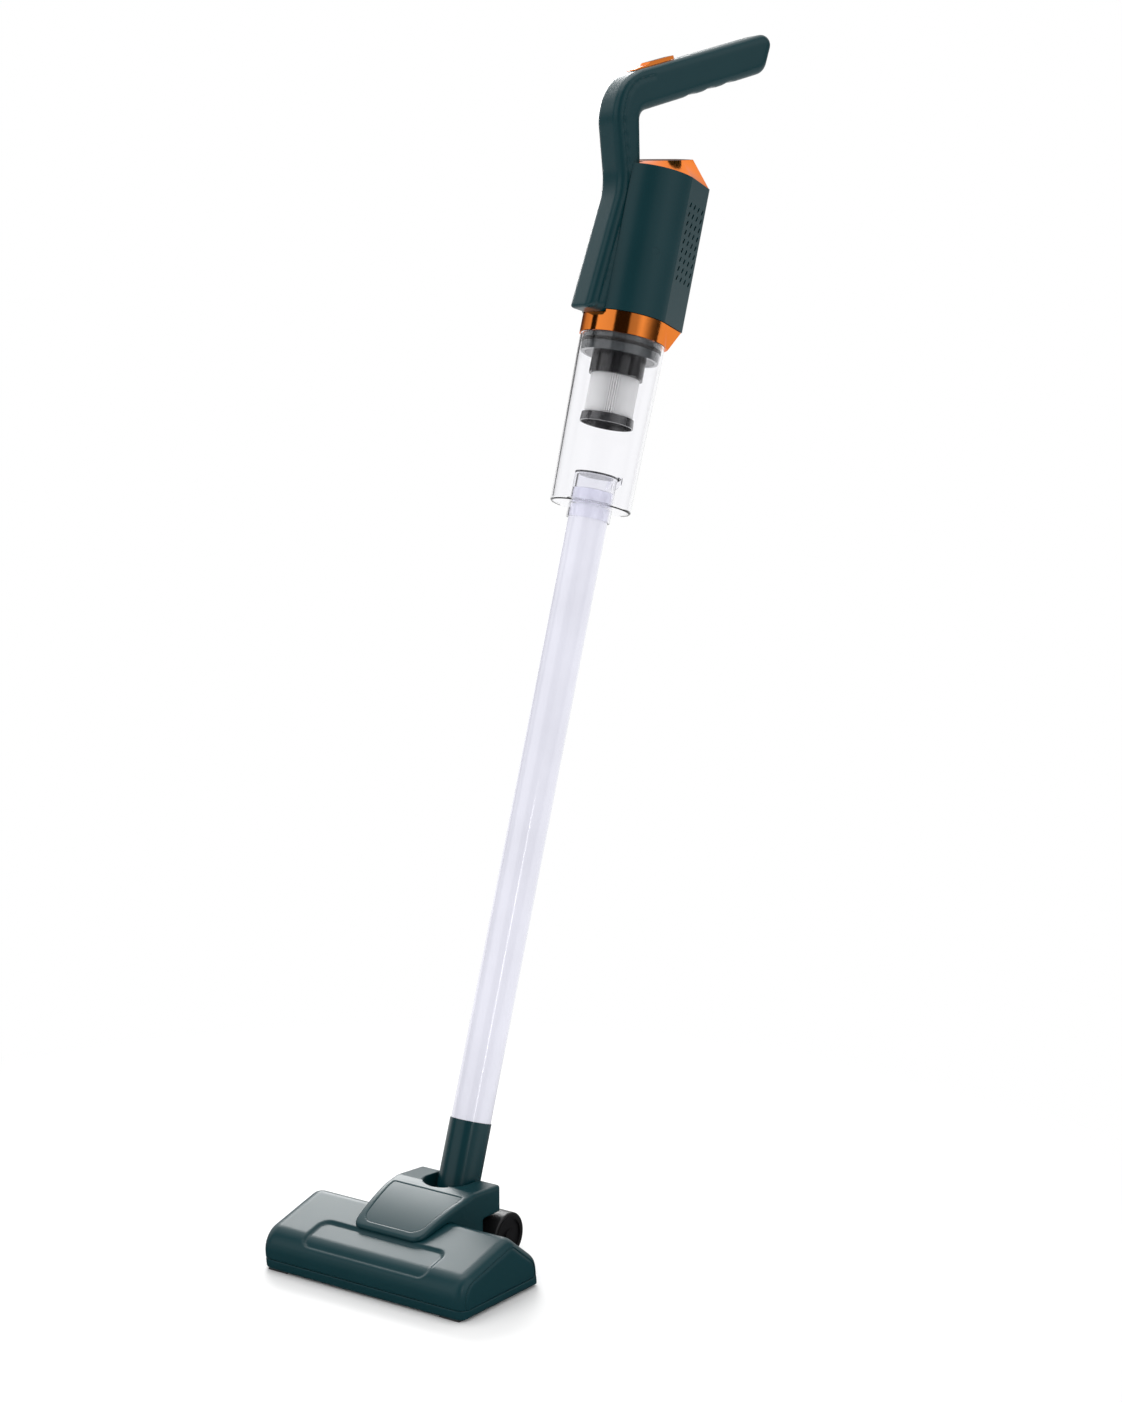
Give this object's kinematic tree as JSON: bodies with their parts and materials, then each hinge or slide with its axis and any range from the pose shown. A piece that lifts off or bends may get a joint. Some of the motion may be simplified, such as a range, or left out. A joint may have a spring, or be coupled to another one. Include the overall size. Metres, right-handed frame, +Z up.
{
  "type": "upright vacuum cleaner",
  "caption": "Cordless upright stick vacuum cleaner: wide floor head on a tilting neck, long round wand, clear dust cup with a pleated filter and an angled grip with a sliding switch.",
  "frame": {"origin": "centre of the middle sole pad's underside, on the floor under the floor head", "axes": "+X across the floor head, the head's front faces -Y, +Z up; the stick leans back 19 degrees towards +Y at rest and the hand unit is turned 20 degrees on the round tube"},
  "size_m": [0.216, 0.56, 1.0327],
  "materials": {
    "teal_plastic": "satin, dark petrol green with a soft sheen",
    "copper_trim": "vacuum plated copper, mirror bright",
    "dark_plastic": "fine moulded texture",
    "clear_cup": "clear moulded polycarbonate, polished",
    "white_tube": "glossy white enamel on aluminium tube",
    "inlet_plastic": "clear moulded, polished",
    "filter_paper": "pleated white filter paper",
    "seal_rubber": "soft seal rubber",
    "tyre_rubber": "soft wheel rubber",
    "brush_fibre": "dark nylon pile",
    "foam": "open cell foam",
    "steel": "zinc plated steel",
    "rotor_steel": "laminated steel core",
    "impeller_aluminium": "die cast",
    "cell_wrap": "shrink wrap",
    "board": "coated glass fibre board"
  },
  "bodies": {
    "hand_unit": {"handle_left": "teal_plastic", "handle_right": "teal_plastic", "handle_screws": "steel", "motor_housing": "teal_plastic", "side_plugs": "teal_plastic", "exhaust_foam": "foam", "top_cap": "copper_trim", "lower_trim": "copper_trim", "cup_collar": "dark_plastic", "cup_seal": "seal_rubber", "fan_shroud": "dark_plastic", "motor_can": "steel", "motor_bearings": "steel", "motor_frame": "dark_plastic", "motor_mount_front": "seal_rubber", "motor_mount_rear": "seal_rubber", "switch_body": "dark_plastic", "battery_cells": "cell_wrap", "battery_sleeve": "dark_plastic", "circuit_board": "board", "charge_socket": "dark_plastic"},
    "switch": {"switch_button": "copper_trim"},
    "rotor": {"motor_shaft": "steel", "rotor_core": "rotor_steel", "impeller": "impeller_aluminium"},
    "filter": {"filter_cap": "dark_plastic", "filter_media": "filter_paper", "filter_cage": "dark_plastic", "filter_ring": "dark_plastic"},
    "cup": {"dust_cup": "clear_cup", "inlet_tube": "inlet_plastic", "flap_pin": "steel"},
    "flap": {"inlet_flap": "dark_plastic"},
    "wand": {"wand_tube": "white_tube"},
    "neck": {"neck": "teal_plastic"},
    "head": {"head_shell": "teal_plastic", "end_cap_right": "teal_plastic", "end_cap_left": "teal_plastic", "head_base": "teal_plastic", "head_screws": "steel", "bristle_strips": "brush_fibre", "sole_pads": "brush_fibre", "panel_insert": "teal_plastic", "neck_housing": "teal_plastic", "neck_pins": "steel", "head_duct": "dark_plastic", "wheel_axles": "steel"},
    "right_wheel": {"wheel_right": "dark_plastic", "tyre_right": "tyre_rubber"},
    "left_wheel": {"wheel_left": "dark_plastic", "tyre_left": "tyre_rubber"}
  },
  "joints": [
    {"name": "switch_slide", "type": "slide", "parent": "hand_unit", "child": "switch", "axis": [0.2941, 0.9302, 0.2198], "range_m": [0, 0.004]},
    {"name": "motor_spin", "type": "hinge", "parent": "hand_unit", "child": "rotor", "pos_m": [0.00171, 0.35208, 0.83606], "axis": [0, 0.3256, 0.9455], "continuous": true},
    {"name": "filter_pull", "type": "slide", "parent": "hand_unit", "child": "filter", "axis": [0, -0.3256, -0.9455], "range_m": [0, 0.035]},
    {"name": "cup_release", "type": "slide", "parent": "hand_unit", "child": "cup", "axis": [0, -0.3256, -0.9455], "range_m": [0, 0.08]},
    {"name": "flap_hinge", "type": "hinge", "parent": "cup", "child": "flap", "pos_m": [0.00732, 0.30336, 0.64724], "axis": [-0.9397, 0.3234, -0.1114], "range_deg": [0, 65]},
    {"name": "wand_twist", "type": "hinge", "parent": "cup", "child": "wand", "pos_m": [0, 0.27275, 0.62012], "axis": [0, 0.3256, 0.9455], "range_deg": [-180, 180]},
    {"name": "neck_pull", "type": "slide", "parent": "wand", "child": "neck", "axis": [0, -0.3256, -0.9455], "range_m": [0, 0.035]},
    {"name": "head_tilt", "type": "hinge", "parent": "neck", "child": "head", "pos_m": [0, 0.0709, 0.0339], "axis": [1, 0, 0], "range_deg": [-19, 55]},
    {"name": "right_wheel_spin", "type": "hinge", "parent": "head", "child": "right_wheel", "pos_m": [0.039, 0.086, 0.0205], "axis": [1, 0, 0], "continuous": true},
    {"name": "left_wheel_spin", "type": "hinge", "parent": "head", "child": "left_wheel", "pos_m": [-0.039, 0.086, 0.0205], "axis": [1, 0, 0], "continuous": true}
  ]
}
